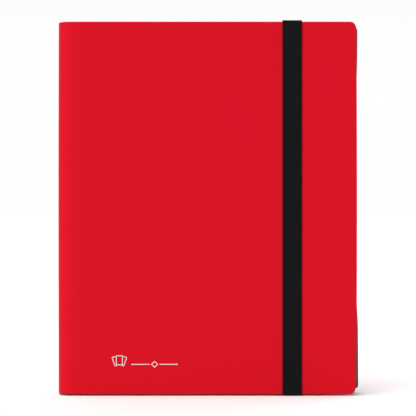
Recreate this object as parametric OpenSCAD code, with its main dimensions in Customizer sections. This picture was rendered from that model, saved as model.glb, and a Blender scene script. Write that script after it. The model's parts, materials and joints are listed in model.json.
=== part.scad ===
// Trading card binder with nine-pocket side-loading pages, an elastic strap and a wrap-round cover.
// It stands on its lower edge: the front cover faces -Y, the spine is at -X and +Z is up.
// Each cover panel turns on a crease beside the spine, and each page turns on its own flexible margin.

/* [Cover] */
// Width from the outer face of the spine to the fore edge of the covers
cover_w = 254.6; // [240:0.2:270]
// Height of the covers
cover_h = 317.5; // [300:0.5:330]
// Thickness of the closed binder over its two covers
closed_t = 25.4; // [24.9:0.1:27]
// Thickness of the cover sheet
sheet_t = 1.5; // [1.2:0.1:1.6]
// Radius of the two fore-edge corners of each cover
corner_r = 5; // [2:0.5:10]
// Thickness of the lining sheet inside each cover
lining_t = 0.3; // [0.2:0.05:0.4]
// Distance from a cover's edges to its lining's edges
lining_inset = 3; // [2:0.5:6]

/* [Spine] */
// Outer radius of the spine's two rounded edges
spine_r = 11; // [8:0.5:11.5]
// Distance from the outer face of the spine to the crease lines
crease_in = 12.5; // [12:0.5:15]
// Distance from a crease line to the start of its cover panel
panel_gap = 0.9; // [0.9:0.05:1.4]
// Thickness of the living hinge left at each crease
web_t = 0.4; // [0.3:0.05:0.6]

/* [Pages] */
// Number of pages, an even number
page_count = 20; // [20]
// Distance from one page to the next
page_pitch = 1.07; // [1.06:0.01:1.08]
// Height of a page
page_h = 308; // [290:1:310]
// Distance that the pages reach past the fore edge of the covers
page_overhang = 0.6; // [0:0.1:1]
// Thickness of a page's opaque backing sheet
backing_t = 0.2; // [0.15:0.01:0.3]
// Thickness of a pocket's clear film
film_t = 0.1; // [0.06:0.01:0.12]
// Width of one column of pockets
pocket_w = 72; // [68:0.5:74]
// Height of one row of pockets
pocket_h = 98; // [94:0.5:100]
// Distance from the fore edge of a page to its outer weld
page_edge = 2; // [1:0.5:4]
// Distance between two columns of film, where a card slides in
mouth_gap = 3; // [2:0.5:5]
// Distance from a page's bending line to its stiff part
margin_w = 14; // [12:0.5:16]
// Distance from a crease line to the bending line of the page beside it
bend_in = 2.2; // [2:0.1:3]
// Step of the bending lines from each page to the next, toward the middle
bend_step = 0.33; // [0.3:0.01:0.4]

/* [Binding] */
// Thickness of the plastic strip that lines the inside of the spine
strip_t = 0.5; // [0.3:0.05:0.6]
// Depth of the hot-melt adhesive, at its middle, that holds the inner edges of the pages
glue_depth = 9; // [8.5:0.1:10]
// Adhesive between the inner edges of the pages and the strip behind them
glue_back = 0.3; // [0.2:0.05:0.4]
// Distance from the outer pages to the sides of the adhesive
glue_side = 0.4; // [0.2:0.05:0.45]

/* [Strap] */
// Width of the elastic strap
strap_w = 16.5; // [12:0.5:20]
// Thickness of the elastic strap
strap_t = 1.2; // [1.2:0.1:1.4]
// Distance from the fore edge of the cover to the middle of the strap
strap_in = 54.6; // [40:0.1:70]
// Length of each strap end on the back cover
tail_len = 22; // [18:1:40]
// Distance from the top or bottom of the cover to the rivet
rivet_in = 12; // [8:0.5:14]
// Diameter of a rivet's head
head_d = 8; // [6:0.5:10]
// Thickness of a rivet's head
head_t = 0.8; // [0.5:0.1:0.8]
// Diameter of a rivet's shank
shank_d = 3; // [2.5:0.1:4]
// Diameter of the washer that the shank is clinched over
washer_d = 7; // [6:0.5:8]
// Thickness of that washer
washer_t = 0.5; // [0.4:0.05:0.5]

/* [Emblem] */
// Distance from the spine's outer face to the emblem
emblem_left = 44.7; // [30:0.2:80]
// Distance from the bottom of the cover to the emblem
emblem_up = 21.7; // [15:0.1:60]
// Height of the emblem
emblem_h = 11.5; // [8:0.5:16]
// Length of the emblem
emblem_w = 57; // [50:0.5:80]
// Thickness of the foil
foil_t = 0.05; // [0.03:0.01:0.1]
// Width of the emblem's lines
line_w = 0.6; // [0.4:0.1:0.8]

/* [Hidden] */
$fn = 96;
// Clearance round a rivet's shank, washer and head in the sheets that they pass through
fit = 0.1;
// Gap between a page's margin and its stiff part, which turn apart
page_gap = 0.02;
// Half of the closed thickness, and the sheet's middle at each crease
half_t = closed_t / 2;
crease_y = half_t - sheet_t / 2;
// X of the spine's outer face, the creases, and the covers' two upright edges
spine_x = -(cover_w + page_overhang) / 2;
crease_x = spine_x + crease_in;
panel_x = crease_x + panel_gap;
fore_x = spine_x + cover_w;
page_x1 = fore_x + page_overhang;
// Z of the covers and of the pages, above the strap that runs under them
cover_z = strap_t;
page_z = cover_z + (cover_h - page_h) / 2;
// X of the middle of the strap
strap_x = fore_x - strap_in;
// Centre of the front half's rounded edge is at turn_x, -turn_y, and of the rear half's at turn_x, turn_y
turn_x = spine_x + spine_r;
turn_y = half_t - spine_r;
// The adhesive's rounded back, its flat face and half of its width
glue_r = spine_r - sheet_t - strip_t;
glue_x1 = spine_x + sheet_t + strip_t + glue_depth;
glue_y = ((page_count - 1) * page_pitch + backing_t) / 2 + glue_side;
// The three columns of pockets, counted from the middle one, and X of that one's middle
COLUMNS = [-1, 0, 1];
pocket_x = page_x1 - page_edge - 1.5 * pocket_w;
// The three cards of the emblem's fan: height, width, corner and the turn from one to the next
card_h = emblem_h * 0.72;
card_w = card_h * 0.7;
card_r = 0.8;
card_turn = 20;
fan_w = 16;

// How many pages lie between a page and the covers' side of the stack, from 0 for an outer page
function depth(i) = min(i, page_count - 1 - i);
// Y of a page's middle plane, for pages counted from 0 at the front
function page_y(i) = (i - (page_count - 1) / 2) * page_pitch;
// X of a page's inner edge, which follows the rounded back of the adhesive
function edge_x(i) = turn_x - sqrt(pow(glue_r - glue_back, 2) - pow(max(0, abs(page_y(i)) - turn_y), 2));
// X of a page's bending line
function bend_x(i) = crease_x + bend_in + bend_step * depth(i);
// X of the start of a page's stiff part
function plate_x(i) = bend_x(i) + margin_w;

// Two-digit page numbers, counted from the front
NUMBERS = [for (n = [1:page_count]) str(n < 10 ? "0" : "", n)];

// A box given by its low corner and its high corner
module span(low, high) {
    translate(low)
        cube(high - low);
}

// An outline drawn in X and Z, made a plate from y0 to y1
module plate(y0, y1) {
    translate([0, y1, 0])
        rotate([90, 0, 0])
            linear_extrude(height = y1 - y0)
                children();
}

// A cylinder along Y, from y0 to y1
module rod(x, z, d, y0, y1) {
    translate([x, y1, z])
        rotate([90, 0, 0])
            cylinder(h = y1 - y0, d = d);
}

// An upright rectangle, drawn in X and Z, with its two fore-edge corners rounded to r
module sheet_outline(x0, x1, z0, z1, r) {
    translate([x0, z0])
        square([x1 - r - x0, z1 - z0]);
    translate([x0, z0 + r])
        square([x1 - x0, z1 - z0 - 2 * r]);
    for (z = [z0 + r, z1 - r])
        translate([x1 - r, z])
            circle(r = r);
}

// Outline of a cover panel
module panel_outline() {
    sheet_outline(panel_x, fore_x, cover_z, cover_z + cover_h, corner_r);
}

// Outline of a lining sheet, the same distance inside the panel all round
module lining_outline() {
    in = lining_inset;
    sheet_outline(panel_x + in, fore_x - in, cover_z + in, cover_z + cover_h - in, corner_r - in / 2);
}

// A rivet-sized rod at each of the strap's two rivets
module at_rivets(d, y0, y1) {
    for (z = [cover_z + rivet_in, cover_z + cover_h - rivet_in])
        rod(strap_x, z, d, y0, y1);
}

module front_cover() {
    color("#d8152a")
        plate(-half_t, -half_t + sheet_t)
            panel_outline();
}

module back_cover() {
    color("#d8152a")
        difference() {
            plate(half_t - sheet_t, half_t)
                panel_outline();
            at_rivets(shank_d + fit, half_t - sheet_t - 1, half_t + 1);
        }
}

// The rear half of the spine's rounded section in plan, between two depths under its outer face
module round_shell(outer, inner) {
    translate([spine_x + outer, 0])
        square([inner - outer, turn_y]);
    intersection() {
        translate([turn_x, turn_y])
            difference() {
                circle(r = spine_r - outer);
                circle(r = spine_r - inner);
            }
        translate([spine_x, turn_y])
            square(spine_r);
    }
}

// Half of the spine's section, from the middle of its outer face to one crease
module spine_half() {
    round_shell(0, sheet_t);
    translate([turn_x, crease_y - sheet_t / 2])
        square([crease_x - turn_x, sheet_t]);
    translate([crease_x, crease_y])
        circle(d = sheet_t);
}

// A half section carried up from z and mirrored to the other half
module upright(z, h) {
    translate([0, 0, z])
        linear_extrude(height = h) {
            children();
            mirror([0, 1])
                children();
        }
}

module spine() {
    color("#d8152a")
        upright(cover_z, cover_h)
            spine_half();
}

// The thin web of sheet left between the spine and a cover panel
module crease_web(y) {
    difference() {
        span([crease_x, y - web_t / 2, cover_z], [crease_x + panel_gap, y + web_t / 2, cover_z + cover_h]);
        translate([crease_x, y, cover_z - 1])
            cylinder(h = cover_h + 2, d = sheet_t);
    }
}

module front_crease_web() {
    color("#b81023")
        crease_web(-crease_y);
}

module rear_crease_web() {
    color("#b81023")
        crease_web(crease_y);
}

module front_lining() {
    color("#1b1b1d")
        plate(-half_t + sheet_t, -half_t + sheet_t + lining_t)
            lining_outline();
}

module back_lining() {
    color("#1b1b1d")
        difference() {
            plate(half_t - sheet_t - lining_t, half_t - sheet_t)
                lining_outline();
            at_rivets(washer_d + 4 * fit, half_t - sheet_t - 1, half_t);
        }
}

// Outline of one card of the emblem, standing on the fan's turning point
module card(line) {
    translate([-card_w / 2 + card_r, emblem_h - card_h]) {
        translate([0, line])
            square([card_w - 2 * card_r, card_h - 2 * line]);
        translate([line - card_r, card_r])
            square([card_w - 2 * line, card_h - 2 * card_r]);
        for (x = [0, card_w - 2 * card_r])
            for (z = [card_r, card_h - card_r])
                translate([x, z])
                    circle(r = card_r - line, $fn = 48);
    }
}

// One card's line, cut away where a nearer card covers it
module card_line(turn, nearer) {
    difference() {
        rotate(turn)
            card(0);
        rotate(turn)
            card(line_w);
        for (t = nearer)
            rotate(t)
                card(-line_w / 2);
    }
}

// A fan of three cards, a slim rule and a small diamond on it
module emblem_outline() {
    rule_x0 = fan_w + 3;
    rule_z = emblem_h * 0.34;
    middle_x = (rule_x0 + emblem_w) / 2;
    diamond = 4.2;
    translate([fan_w / 2, 0]) {
        card_line(card_turn, [0]);
        card_line(-card_turn, [0]);
        card_line(0, []);
    }
    for (x = [rule_x0, middle_x + diamond])
        translate([x, rule_z - line_w / 2])
            square([middle_x - diamond - rule_x0, line_w]);
    translate([middle_x, rule_z])
        rotate(45)
            difference() {
                square(diamond, center = true);
                square(diamond - 2 * line_w, center = true);
            }
    for (x = [rule_x0, emblem_w])
        translate([x, rule_z])
            circle(r = line_w, $fn = 48);
}

module foil_emblem() {
    color("#c9c9cd")
        plate(-half_t - foil_t, -half_t)
            translate([spine_x + emblem_left, cover_z + emblem_up])
                emblem_outline();
}

module binding_strip() {
    color("#2a2a2c")
        upright(page_z, page_h)
            round_shell(sheet_t, sheet_t + strip_t);
}

// Half of the adhesive's section, round at its back and flat at its front
module glue_half() {
    translate([turn_x - glue_r, 0])
        square([glue_r, turn_y]);
    intersection() {
        translate([turn_x, turn_y])
            circle(r = glue_r);
        translate([spine_x, turn_y])
            square([spine_r, glue_y - turn_y]);
    }
    translate([turn_x, 0])
        square([glue_x1 - turn_x, glue_y]);
}

// The adhesive, with a slot for the inner edge of each page
module binding_adhesive() {
    color("#3a3a3d")
        difference() {
            upright(page_z, page_h)
                glue_half();
            for (i = [0:page_count - 1])
                page_slice(i, backing_t, edge_x(i), glue_x1 + 1, 1);
        }
}

// A flat sheet in the plane of page i, taller than the page by extra at each end
module page_slice(i, t, x0, x1, extra) {
    span([x0, page_y(i) - t / 2, page_z - extra], [x1, page_y(i) + t / 2, page_z + page_h + extra]);
}

module page_margins() {
    color("#222225")
        for (i = [0:page_count - 1])
            page_slice(i, backing_t, edge_x(i), plate_x(i) - page_gap, 0);
}

// The stiff part of one page, numbered from 1 at the front
module page(number) {
    color("#1a1a1c")
        page_slice(number - 1, backing_t, plate_x(number - 1), page_x1, 0);
}

// The clear film on both faces of one page: a strip for each column, open toward the spine
module pockets(number) {
    y = page_y(number - 1);
    z = page_z + page_h / 2;
    color("#dfe6ea", 0.4)
        for (side = [-1, 1])
            for (column = COLUMNS) {
                x = pocket_x + column * pocket_w + mouth_gap / 2;
                translate([x, y + side * (backing_t + film_t) / 2, z])
                    cube([pocket_w - mouth_gap, film_t, 3 * pocket_h], center = true);
            }
}

module strap_front() {
    color("#161616")
        span([strap_x - strap_w / 2, -half_t - strap_t, 0],
             [strap_x + strap_w / 2, -half_t, cover_h + 2 * strap_t]);
}

// The part of the strap that crosses an end of the closed binder, with its low face at z
module strap_leg(z) {
    color("#161616")
        span([strap_x - strap_w / 2, -half_t, z], [strap_x + strap_w / 2, half_t, z + strap_t]);
}

module strap_top() {
    strap_leg(cover_z + cover_h);
}

module strap_bottom() {
    strap_leg(0);
}

// A strap end that lies on the back cover, from z0 to z1, pressed in under the rivet's head
module strap_tail(z0, z1) {
    color("#161616")
        difference() {
            span([strap_x - strap_w / 2, half_t, z0], [strap_x + strap_w / 2, half_t + strap_t, z1]);
            at_rivets(shank_d + fit, half_t - 1, half_t + strap_t + 1);
            at_rivets(head_d + fit, half_t + strap_t - head_t, half_t + strap_t + 1);
        }
}

module strap_tail_top() {
    strap_tail(cover_z + cover_h - tail_len, cover_h + 2 * strap_t);
}

module strap_tail_bottom() {
    strap_tail(0, cover_z + tail_len);
}

module strap_rivets() {
    color("#3a3a3c") {
        at_rivets(head_d, half_t + strap_t - head_t, half_t + strap_t);
        at_rivets(shank_d, half_t - sheet_t - washer_t, half_t + strap_t - head_t);
    }
}

module strap_washers() {
    color("#8b8d90")
        difference() {
            at_rivets(washer_d, half_t - sheet_t - washer_t, half_t - sheet_t);
            at_rivets(shank_d, half_t - sheet_t - 1, half_t);
        }
}

front_cover();
spine();
back_cover();
front_crease_web();
rear_crease_web();
front_lining();
back_lining();
foil_emblem();
binding_strip();
binding_adhesive();
page_margins();
strap_front();
strap_top();
strap_bottom();
strap_tail_top();
strap_tail_bottom();
strap_rivets();
strap_washers();
for (n = [1:page_count]) {
    page(n);
    pockets(n);
}
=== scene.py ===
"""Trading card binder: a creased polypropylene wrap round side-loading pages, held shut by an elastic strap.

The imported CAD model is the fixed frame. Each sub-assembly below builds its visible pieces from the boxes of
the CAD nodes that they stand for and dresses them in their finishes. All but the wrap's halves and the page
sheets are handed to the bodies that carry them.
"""

from __future__ import annotations

import json
import logging
import math
from collections.abc import Callable, Iterable, Mapping
from dataclasses import dataclass
from enum import Enum
from functools import partial
from typing import Any

import bmesh
import bpy
import numpy as np
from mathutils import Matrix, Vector

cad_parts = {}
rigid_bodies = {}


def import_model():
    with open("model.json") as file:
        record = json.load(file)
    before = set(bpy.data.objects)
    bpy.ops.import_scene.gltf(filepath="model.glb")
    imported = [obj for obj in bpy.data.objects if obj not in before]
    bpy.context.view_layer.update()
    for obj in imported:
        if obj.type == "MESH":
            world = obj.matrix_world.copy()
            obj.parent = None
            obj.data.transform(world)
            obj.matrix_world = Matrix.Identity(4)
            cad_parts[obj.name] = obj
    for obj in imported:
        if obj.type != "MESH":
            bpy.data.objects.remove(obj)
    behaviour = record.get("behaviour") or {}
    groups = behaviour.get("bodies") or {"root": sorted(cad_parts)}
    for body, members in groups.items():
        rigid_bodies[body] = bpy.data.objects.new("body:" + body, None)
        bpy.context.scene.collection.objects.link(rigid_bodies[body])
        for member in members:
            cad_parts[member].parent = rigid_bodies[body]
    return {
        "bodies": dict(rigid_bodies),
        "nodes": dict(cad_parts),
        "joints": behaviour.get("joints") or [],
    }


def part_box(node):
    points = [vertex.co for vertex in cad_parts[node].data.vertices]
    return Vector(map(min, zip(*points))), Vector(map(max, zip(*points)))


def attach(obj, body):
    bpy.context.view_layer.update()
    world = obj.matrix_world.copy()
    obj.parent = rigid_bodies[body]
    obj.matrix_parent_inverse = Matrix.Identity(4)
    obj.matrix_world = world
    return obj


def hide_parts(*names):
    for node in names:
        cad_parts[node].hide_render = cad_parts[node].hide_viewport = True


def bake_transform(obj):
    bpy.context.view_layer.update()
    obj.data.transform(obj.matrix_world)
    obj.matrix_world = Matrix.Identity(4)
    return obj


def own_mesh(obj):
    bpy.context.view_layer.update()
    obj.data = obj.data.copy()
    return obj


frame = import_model()

LOG = logging.getLogger("binder")
MM = 0.001
# Index of refraction of polypropylene
PLASTIC_IOR = 1.49
# Nearly all the values of a noise lie between these two
NOISE_LOW, NOISE_HIGH = 0.3, 0.7
# Pockets across and up each page
COLUMNS, ROWS = 3, 3
# Sockets of the Mix node when it mixes colours
MIX_FACTOR, MIX_A, MIX_B, MIX_RESULT = 0, 6, 7, 2

Colour = tuple[float, float, float, float]
Face = tuple[int, ...]
Flex = Callable[[np.ndarray, np.ndarray], np.ndarray]


# ---------------------------------------------------------------- frame


@dataclass(frozen=True)
class Box:
    """The corners of a CAD node at rest, in metres."""

    low: Vector
    high: Vector

    @classmethod
    def of(cls, node: str) -> Box:
        """The box of one CAD node."""
        low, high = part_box(node)
        return cls(Vector(low), Vector(high))

    @property
    def middle(self) -> Vector:
        """The point halfway between the two corners."""
        return (self.low + self.high) / 2

    @property
    def size(self) -> Vector:
        """The box's extent along each axis."""
        return self.high - self.low


def pivot(joint: str) -> Vector:
    """The point that a joint of the record turns about."""
    found = next(j for j in frame["joints"] if j["name"] == joint)
    return Vector(found["pos_m"])


# ---------------------------------------------------------------- node and mesh tools


def linear(code: str) -> Colour:
    """Turns an sRGB hex colour into the linear values that shaders take.

    Args:
        code: six hex digits, two each for red, green and blue.

    Returns:
        Red, green, blue and full alpha.
    """
    levels = [int(code[k : k + 2], 16) / 255 for k in (0, 2, 4)]
    red, green, blue = (v / 12.92 if v <= 0.04045 else ((v + 0.055) / 1.055) ** 2.4 for v in levels)
    return red, green, blue, 1.0


def fineness(size_mm: float) -> float:
    """The scale of a noise whose features are about this many millimetres across."""
    return 1 / (size_mm * MM)


def feed(tree: bpy.types.NodeTree, node: bpy.types.Node, values: Mapping[Any, Any]) -> None:
    """Sets or links the inputs of a node.

    Args:
        tree: the tree that holds the node.
        node: the node.
        values: input name or number to a value, to a socket, or to a node whose first output feeds it.
    """
    for key, value in values.items():
        if isinstance(value, bpy.types.Node):
            value = value.outputs[0]
        if isinstance(value, bpy.types.NodeSocket):
            tree.links.new(value, node.inputs[key])
        else:
            node.inputs[key].default_value = value


def add(tree: bpy.types.NodeTree, kind: str, values: Mapping[Any, Any] | None = None, **settings: Any) -> Any:
    """Adds one node to a tree, with its settings, values and links.

    Args:
        tree: the shader or geometry tree.
        kind: the node's type name.
        values: what feeds its inputs, as feed takes it.
        settings: properties of the node itself.

    Returns:
        The new node.
    """
    node = tree.nodes.new(kind)
    for name, value in settings.items():
        setattr(node, name, value)
    feed(tree, node, values or {})
    return node


def mesh_object(name: str, points: np.ndarray, faces: Iterable[Iterable[int]]) -> bpy.types.Object:
    """Makes a smooth-shaded mesh object whose faces all point outwards.

    Args:
        name: the object's name.
        points: corner positions in metres, one row each.
        faces: corner numbers of each face.

    Returns:
        The object, linked to the scene.
    """
    mesh = bpy.data.meshes.new(name)
    mesh.from_pydata([tuple(p) for p in points], [], [tuple(f) for f in faces])
    work = bmesh.new()
    work.from_mesh(mesh)
    bmesh.ops.recalc_face_normals(work, faces=work.faces)
    work.to_mesh(mesh)
    work.free()
    mesh.polygons.foreach_set("use_smooth", np.ones(len(mesh.polygons), bool))
    mesh.update()
    return show(name, mesh)


def show(name: str, data: Any) -> bpy.types.Object:
    """Makes an object of a mesh, lamp or camera and links it to the scene."""
    obj = bpy.data.objects.new(name, data)
    bpy.context.scene.collection.objects.link(obj)
    return obj


def hoops(count: int, around: int, first: int = 0) -> list[Face]:
    """The faces between neighbouring closed rings of points.

    Args:
        count: how many rings there are.
        around: how many points each ring has.
        first: number of the first ring's first point.

    Returns:
        The four corners of each face.
    """
    sides = [(i, (i + 1) % around) for i in range(around)]
    rings = range(first, first + (count - 1) * around, around)
    return [(a + i, a + j, a + around + j, a + around + i) for a in rings for i, j in sides]


def places(obj: bpy.types.Object) -> np.ndarray:
    """The position of every point of an object's mesh, one row each."""
    found = np.empty(3 * len(obj.data.vertices))
    obj.data.vertices.foreach_get("co", found)
    return found.reshape(-1, 3)


def mark(obj: bpy.types.Object, name: str, values: np.ndarray) -> None:
    """Stores a number at every point of an object's mesh, for its material to read."""
    obj.data.attributes.new(name, "FLOAT", "POINT").data.foreach_set("value", values)


def sharpen(obj: bpy.types.Object, degrees: float) -> None:
    """Marks the edges that turn by more than an angle as sharp."""
    obj.data.set_sharp_from_angle(angle=math.radians(degrees))


def plain(obj: bpy.types.Object) -> bpy.types.Object:
    """Turns an object's evaluated result into its own mesh, and drops its modifiers.

    Args:
        obj: a mesh object with live modifiers.

    Returns:
        The same object, now a plain mesh.
    """
    bpy.context.view_layer.update()
    evaluated = obj.evaluated_get(bpy.context.evaluated_depsgraph_get())
    made = bpy.data.meshes.new_from_object(evaluated)
    obj.modifiers.clear()
    obj.data = made
    obj.data.name = obj.name
    return obj


def grow(obj: bpy.types.Object, tree: bpy.types.NodeTree, values: Mapping[str, Any]) -> bpy.types.Object:
    """Runs a geometry tree on an object and keeps the result as a plain mesh.

    Args:
        obj: the object that the tree starts from.
        tree: the geometry tree.
        values: input name to value.

    Returns:
        The same object with its new mesh.
    """
    modifier = obj.modifiers.new(tree.name, "NODES")
    modifier.node_group = tree
    for item in tree.interface.items_tree:
        if item.item_type == "SOCKET" and item.in_out == "INPUT" and item.name in values:
            modifier[item.identifier] = values[item.name]
    return plain(obj)


def new_tree(name: str, inputs: Mapping[str, str]) -> tuple[bpy.types.NodeTree, dict[str, Any]]:
    """Starts a geometry tree with one geometry input, one geometry output and named inputs.

    Args:
        name: the tree's name.
        inputs: input name to socket type, without its NodeSocket prefix.

    Returns:
        The tree, and the sockets that give its inputs, by name.
    """
    tree = bpy.data.node_groups.new(name, "GeometryNodeTree")
    for label, kind in {"Geometry": "Geometry", **inputs}.items():
        tree.interface.new_socket(label, in_out="INPUT", socket_type=f"NodeSocket{kind}")
    tree.interface.new_socket("Geometry", in_out="OUTPUT", socket_type="NodeSocketGeometry")
    given = add(tree, "NodeGroupInput").outputs
    return tree, {label: given[label] for label in ("Geometry", *inputs)}


def end_tree(tree: bpy.types.NodeTree, geometry: Any, material: Any) -> None:
    """Ends a geometry tree with Realize Instances and Set Material."""
    real = add(tree, "GeometryNodeRealizeInstances", {"Geometry": geometry})
    dressed = add(tree, "GeometryNodeSetMaterial", {"Geometry": real, "Material": material})
    add(tree, "NodeGroupOutput", {0: dressed})


# ---------------------------------------------------------------- finishes


@dataclass(frozen=True)
class Finish:
    """One material: what it is made of, how its surface was made, and its base values."""

    name: str
    slot: str
    colour: str
    roughness: float
    ior: float = 1.5
    metallic: float = 0.0
    specular: float = 0.5

    def build(self) -> bpy.types.Material:
        """Makes the material once, and returns the same one after that."""
        made = bpy.data.materials.get(self.name)
        if made:
            return made
        made = bpy.data.materials.new(self.name)
        made.use_nodes = True
        tree = made.node_tree
        tree.nodes.clear()
        shader = add(tree, "ShaderNodeBsdfPrincipled", {
            "Base Color": linear(self.colour), "Roughness": self.roughness, "IOR": self.ior,
            "Metallic": self.metallic, "Specular IOR Level": self.specular,
        })
        place = add(tree, "ShaderNodeTexCoord").outputs["Object"]
        feed(tree, shader, self.pattern(tree, place))
        add(tree, "ShaderNodeOutputMaterial", {"Surface": shader})
        return made

    def pattern(self, tree: bpy.types.NodeTree, place: Any) -> dict[str, Any]:
        """Adds the surface's own detail.

        Args:
            tree: the material's node tree.
            place: the socket that gives Object coordinates.

        Returns:
            What feeds the shader's inputs. A finish without detail of its own feeds nothing.
        """
        return {}

    def dress(self, obj: bpy.types.Object) -> None:
        """Gives an object this material, in every slot that it has."""
        material = self.build()
        if not obj.data.materials:
            obj.data.materials.append(material)
        for place in obj.material_slots:
            place.material = material


@dataclass(frozen=True)
class EmbossedSheet(Finish):
    """Extruded polypropylene sheet, embossed by a matt roller.

    An even, very fine sand grain spreads the highlight, and a faint wave shows where the sheet cooled. A
    painted highlight pales the colour along the spine's curve, and the plastic is brighter and smoother where
    it was cut.
    """

    # The roller's real grain is about 0.2 mm. It is drawn coarser, so that it shows.
    grain_mm: float = 0.7
    grain_depth_mm: float = 0.012
    wave_mm: float = 55.0
    wave_depth_mm: float = 0.10
    shade_colour: str = "cc0718"
    shade_share: float = 0.16
    # Painted highlight: a paler red where the spine's curve faces the light
    painted_highlight_colour: str = "ee1028"
    painted_highlight_share: float = 0.28
    cut_colour: str = "e01828"
    cut_share: float = 0.55
    cut_gloss: float = 0.18
    smoothest: float = -0.05
    roughest: float = 0.06

    def pattern(self, tree: bpy.types.NodeTree, place: Any) -> dict[str, Any]:
        """Adds the grain, the wave, the painted highlight along the spine's curve and the cut edge.

        Args:
            tree: the material's node tree.
            place: the socket that gives Object coordinates.

        Returns:
            What feeds the shader's inputs.
        """
        grain = add(tree, "ShaderNodeTexNoise", {
            "Vector": place, "Scale": fineness(self.grain_mm), "Detail": 3.0, "Roughness": 0.6,
        })
        wave = add(tree, "ShaderNodeTexNoise", {
            "Vector": place, "Scale": fineness(self.wave_mm), "Detail": 1.0, "Roughness": 0.4,
        })
        cut = add(tree, "ShaderNodeAttribute", attribute_name="rim").outputs["Fac"]
        # Painted highlight mark: highest along the spine's curve, where it faces the light
        painted_spine_highlight = add(tree, "ShaderNodeAttribute", attribute_name="painted_spine_highlight").outputs["Fac"]
        shade = add(tree, "ShaderNodeMapRange", {
            "Value": wave, "From Min": NOISE_LOW, "From Max": NOISE_HIGH, "To Max": self.shade_share,
        })
        # Painted highlight: the share of paler red laid along the spine's curve
        painted_highlight_mix = add(tree, "ShaderNodeMath", {0: painted_spine_highlight, 1: self.painted_highlight_share}, operation="MULTIPLY")
        edge = add(tree, "ShaderNodeMath", {0: cut, 1: self.cut_share}, operation="MULTIPLY")
        layers = ((shade, self.shade_colour), (painted_highlight_mix, self.painted_highlight_colour), (edge, self.cut_colour))
        colour = linear(self.colour)
        for share, over in layers:
            mixed = {MIX_FACTOR: share, MIX_A: colour, MIX_B: linear(over)}
            colour = add(tree, "ShaderNodeMix", mixed, data_type="RGBA").outputs[MIX_RESULT]
        speckle = add(tree, "ShaderNodeMapRange", {
            "Value": grain, "From Min": NOISE_LOW, "From Max": NOISE_HIGH,
            "To Min": self.roughness + self.smoothest, "To Max": self.roughness + self.roughest,
        })
        worn = add(tree, "ShaderNodeMath", {0: cut, 1: -self.cut_gloss, 2: speckle}, operation="MULTIPLY_ADD")
        ripple = add(tree, "ShaderNodeBump", {"Height": wave, "Distance": self.wave_depth_mm * MM})
        sand = add(tree, "ShaderNodeBump", {
            "Height": grain, "Distance": self.grain_depth_mm * MM, "Normal": ripple,
        })
        return {"Base Color": colour, "Roughness": worn, "Normal": sand}


@dataclass(frozen=True)
class WovenElastic(Finish):
    """Woven elastic webbing: black textured polyester over rubber cores.

    Ribs run across it, fine warp yarns run along it, and short fibres give it a soft grey sheen.
    """

    # Real ribs are about 0.8 mm apart and yarns 0.4 mm, and loose fibres are finer still. All three are drawn
    # coarser, so that they show.
    rib_mm: float = 1.6
    yarn_mm: float = 0.9
    fuzz_mm: float = 1.1
    yarn_depth_mm: float = 0.07
    fuzz_depth_mm: float = 0.09
    thread_colour: str = "181919"
    cell_tone: float = 0.35
    sheen: float = 0.02
    sheen_colour: str = "b8bcbc"

    def pattern(self, tree: bpy.types.NodeTree, place: Any) -> dict[str, Any]:
        """Adds the woven cells and the fibres.

        Args:
            tree: the material's node tree.
            place: the socket that gives Object coordinates.

        Returns:
            What feeds the shader's inputs.
        """
        across = add(tree, "ShaderNodeSeparateXYZ", {"Vector": place}).outputs["X"]
        along = add(tree, "ShaderNodeAttribute", attribute_name="run").outputs["Fac"]
        waves = []
        for way, pitch in ((along, self.rib_mm), (across, self.yarn_mm)):
            turn = add(tree, "ShaderNodeMath", {0: way, 1: math.tau / (pitch * MM)}, operation="MULTIPLY")
            waves.append(add(tree, "ShaderNodeMath", {0: turn}, operation="SINE"))
        # Neighbouring yarns pass over and under in turn, so the cells swap from one rib to the next.
        cell = add(tree, "ShaderNodeMath", dict(enumerate(waves)), operation="MULTIPLY")
        fuzz = add(tree, "ShaderNodeTexNoise", {
            "Vector": place, "Scale": fineness(self.fuzz_mm), "Detail": 4.0,
        })
        tone = add(tree, "ShaderNodeMath", {0: cell, 1: self.cell_tone, 2: fuzz}, operation="MULTIPLY_ADD")
        mixed = {MIX_FACTOR: tone, MIX_A: linear(self.colour), MIX_B: linear(self.thread_colour)}
        colour = add(tree, "ShaderNodeMix", mixed, data_type="RGBA", clamp_factor=True).outputs[MIX_RESULT]
        cells = add(tree, "ShaderNodeBump", {
            "Height": cell, "Distance": self.yarn_depth_mm * MM, "Strength": 0.8,
        })
        fibres = add(tree, "ShaderNodeBump", {
            "Height": fuzz, "Distance": self.fuzz_depth_mm * MM, "Strength": 0.6, "Normal": cells,
        })
        return {
            "Base Color": colour, "Normal": fibres, "Sheen Weight": self.sheen, "Sheen Roughness": 0.5,
            "Sheen Tint": linear(self.sheen_colour),
        }


@dataclass(frozen=True)
class CastFilm(Finish):
    """Cast clear polypropylene film: almost colourless and glossy, with slow ripples and a trace of haze."""

    ripple_mm: float = 22.0
    ripple_depth_mm: float = 0.12
    haze_mm: float = 1.5
    clearest: float = 0.6
    dullest: float = 1.5

    def pattern(self, tree: bpy.types.NodeTree, place: Any) -> dict[str, Any]:
        """Adds the ripples, which break up reflections, and the haze.

        Args:
            tree: the material's node tree.
            place: the socket that gives Object coordinates.

        Returns:
            What feeds the shader's inputs.
        """
        ripple, haze = (
            add(tree, "ShaderNodeTexNoise", {"Vector": place, "Scale": fineness(size), "Detail": 2.0})
            for size in (self.ripple_mm, self.haze_mm)
        )
        dull = add(tree, "ShaderNodeMapRange", {
            "Value": haze, "To Min": self.roughness * self.clearest, "To Max": self.roughness * self.dullest,
        })
        bump = add(tree, "ShaderNodeBump", {"Height": ripple, "Distance": self.ripple_depth_mm * MM})
        return {"Transmission Weight": 1.0, "Roughness": dull, "Normal": bump}


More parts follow.
